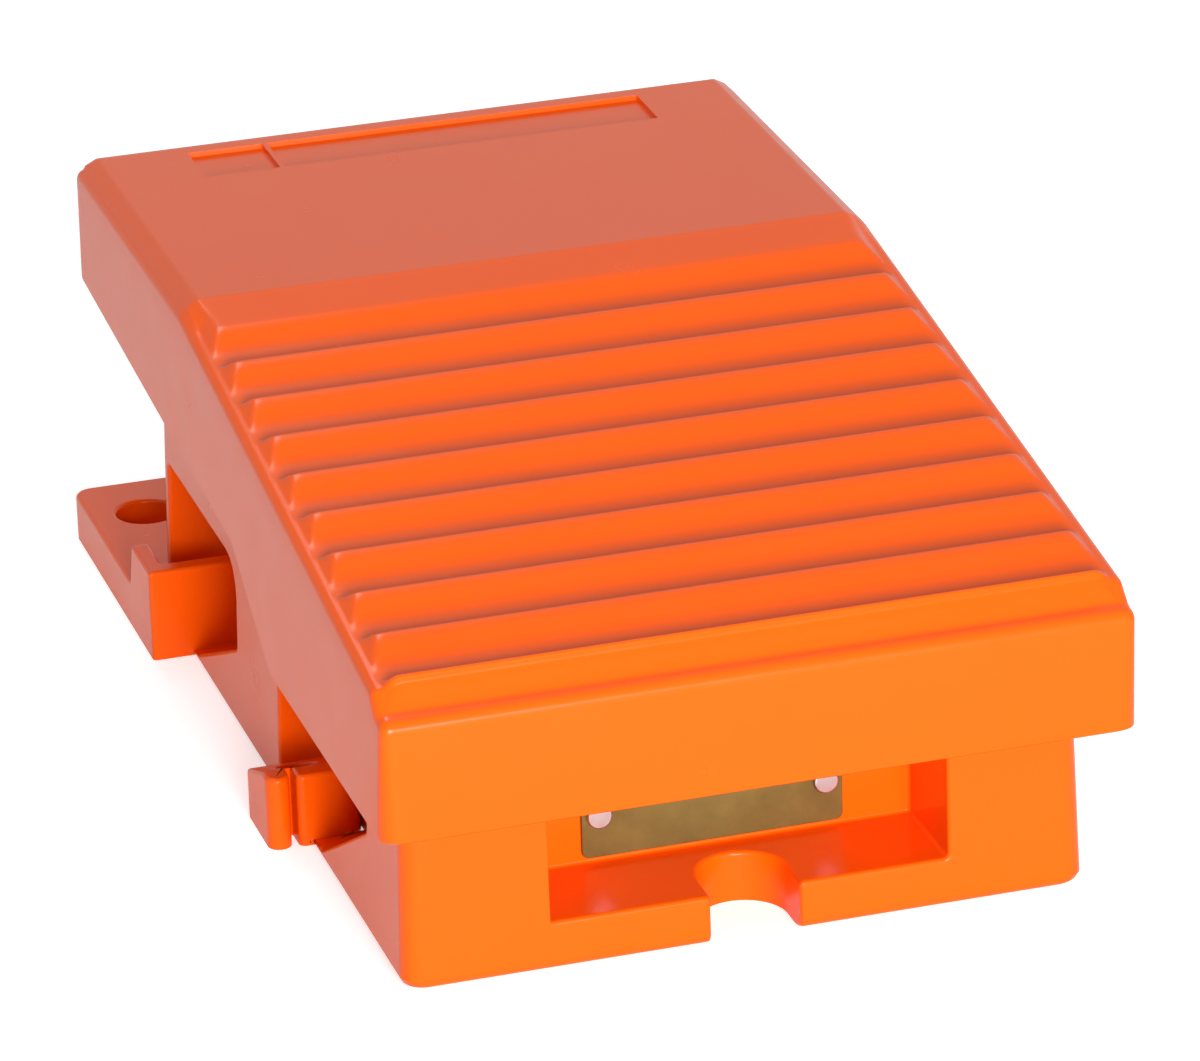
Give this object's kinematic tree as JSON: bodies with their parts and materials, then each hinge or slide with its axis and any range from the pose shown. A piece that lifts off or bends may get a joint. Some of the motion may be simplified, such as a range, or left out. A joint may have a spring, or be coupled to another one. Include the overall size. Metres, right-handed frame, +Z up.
{
  "type": "foot switch",
  "caption": "Metal foot switch without guard: ribbed die-cast pedal hinged over a die-cast base with fixing ears, sealed contact chamber and rear cable entries.",
  "frame": {"origin": "on the floor under the centre of the part's box", "axes": "+Z up, +Y towards the rear cable entries, -Y towards the operator's toe end, +X to the operator's right"},
  "size_m": [0.104, 0.172, 0.0612],
  "materials": {
    "casting_paint": "semi-gloss orange paint on die-cast metal",
    "pedal_paint": "semi-gloss orange paint on die-cast metal",
    "plate_metal": "worn bare metal plate",
    "zinc_steel": "zinc-plated steel",
    "spring_steel": "drawn spring steel",
    "bronze": "sintered bronze",
    "brass": "turned brass",
    "black_rubber": "matt rubber",
    "grey_plastic": "moulded plastic",
    "black_plastic": "moulded thermoset plastic",
    "white_plastic": "turned acetal",
    "red_plastic": "moulded plastic",
    "lid_alloy": "cast and faced aluminium",
    "silver_contact": "silver-plated contact strip"
  },
  "bodies": {
    "base": {"base_casting": "casting_paint", "rating_plate": "plate_metal", "rating_plate_rivets": "zinc_steel", "hinge_pin_left": "zinc_steel", "hinge_pin_right": "zinc_steel", "hinge_pin_clips": "spring_steel", "return_spring_left": "spring_steel", "return_spring_right": "spring_steel", "spring_seats": "grey_plastic", "down_stop_buffers": "black_rubber", "rest_stop_pads": "black_rubber", "plunger_guide": "brass", "plunger_boot": "black_rubber", "chamber_lid": "lid_alloy", "lid_gasket": "black_rubber", "lid_screws": "zinc_steel", "contact_block": "black_plastic", "contact_block_screws": "zinc_steel", "closed_contacts": "silver_contact", "open_contacts": "silver_contact", "terminal_screws": "zinc_steel", "terminal_washers": "brass", "contact_spring": "spring_steel", "earth_screw": "zinc_steel", "earth_washer": "brass", "blanking_plug": "grey_plastic", "blanking_plug_seal": "black_rubber"},
    "pedal": {"pedal": "pedal_paint", "hinge_bushes": "bronze", "actuating_screw": "zinc_steel", "lock_nut": "zinc_steel"},
    "plunger": {"plunger": "white_plastic", "contact_carrier": "red_plastic", "contact_bridge": "silver_contact"}
  },
  "joints": [
    {"name": "pedal_hinge", "type": "hinge", "parent": "base", "child": "pedal", "pos_m": [0, 0.038, 0.048], "axis": [1, 0, 0], "range_deg": [0, 6], "stiffness_Nm_per_rad": 6, "springref_deg": -6.88, "deforming": ["return_spring_left", "return_spring_right"]},
    {"name": "plunger_slide", "type": "slide", "parent": "base", "child": "plunger", "axis": [0, 0, -1], "range_m": [0, 0.0059], "deforming": ["plunger_boot", "contact_spring"]}
  ],
  "couplings": [
    {"joint": "plunger_slide", "follows": "pedal_hinge", "m_per_rad": 0.053901}
  ]
}
